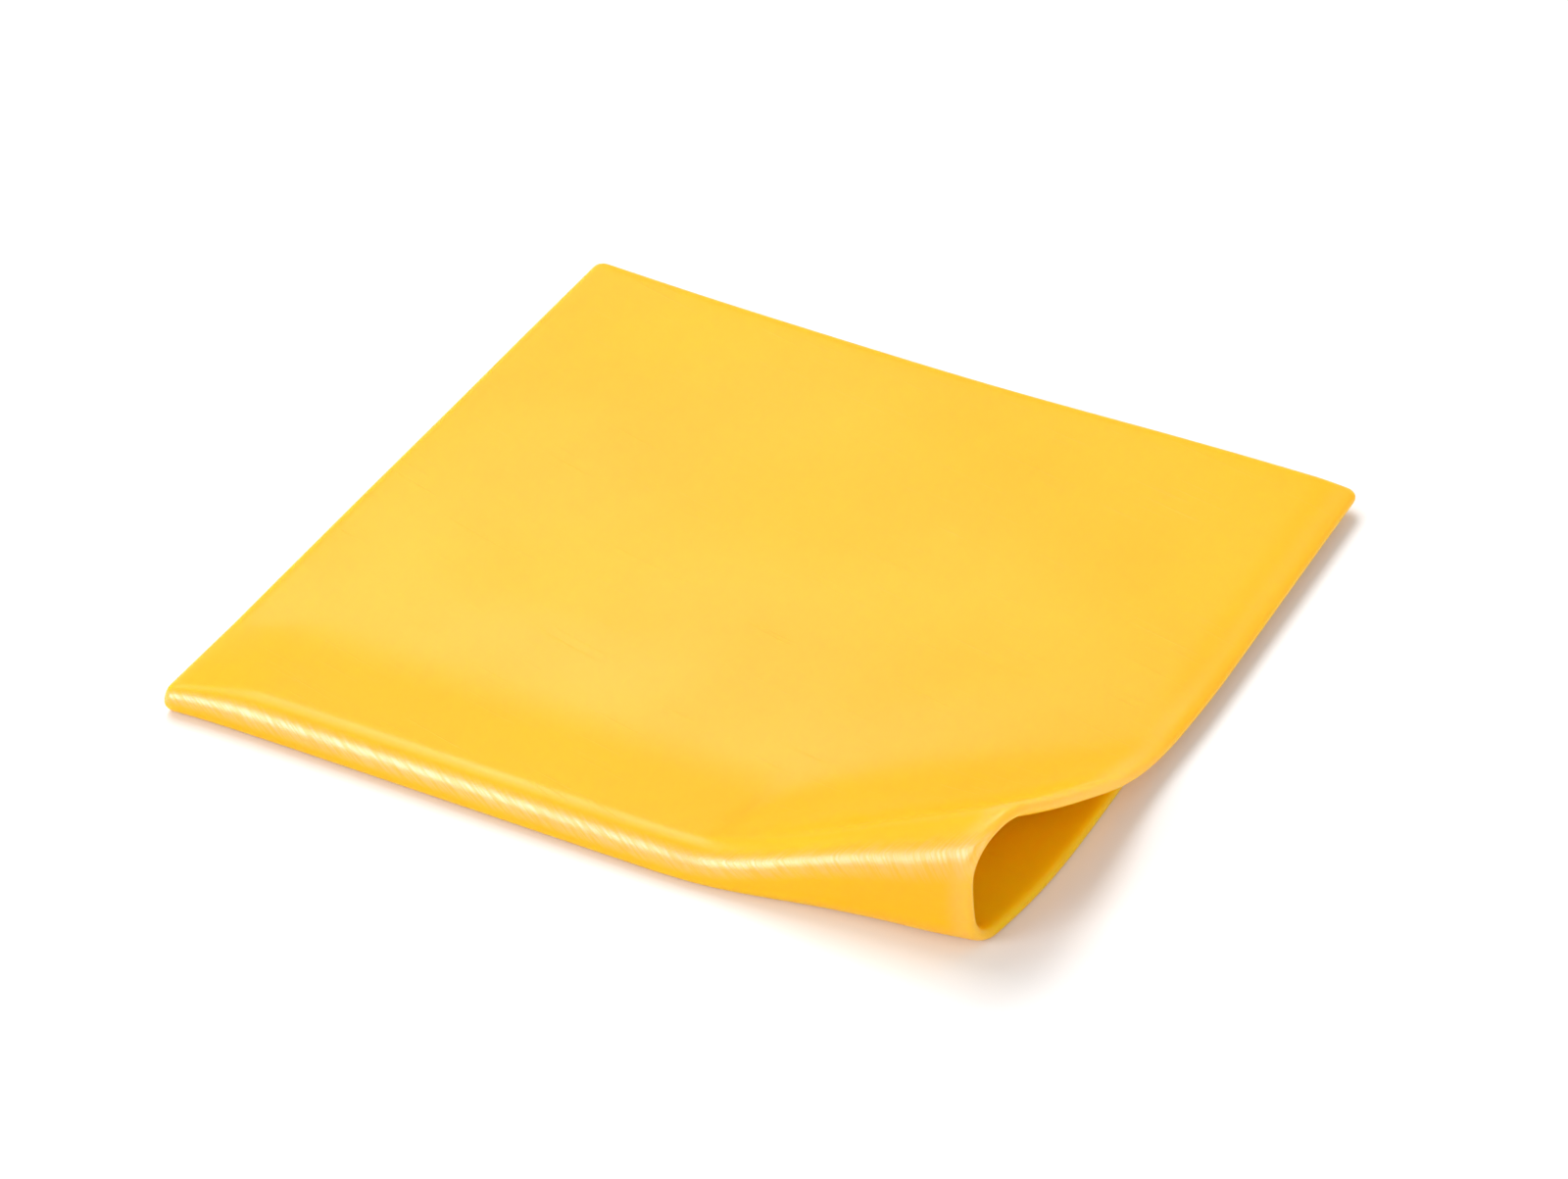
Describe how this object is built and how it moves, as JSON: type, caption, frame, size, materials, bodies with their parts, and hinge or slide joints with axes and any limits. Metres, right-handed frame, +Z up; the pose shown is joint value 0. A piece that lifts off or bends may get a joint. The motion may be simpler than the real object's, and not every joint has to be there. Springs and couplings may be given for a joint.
{
  "type": "cheese slice",
  "caption": "Thin square slice of yellow processed cheese, folded double, with the fold curling open into a loop at one front corner.",
  "frame": {"origin": "under the middle of the folded slice, on the surface that it lies on", "axes": "+X along the fold towards the end that curls open, +Y from the fold towards the back cut edge, +Z up"},
  "size_m": [0.09, 0.0858, 0.0142],
  "materials": {
    "cheese": "smooth rubbery cheese, satin to glossy on the fold, slightly translucent"
  },
  "bodies": {
    "root": {"cheese_slice": "cheese"}
  },
  "joints": []
}
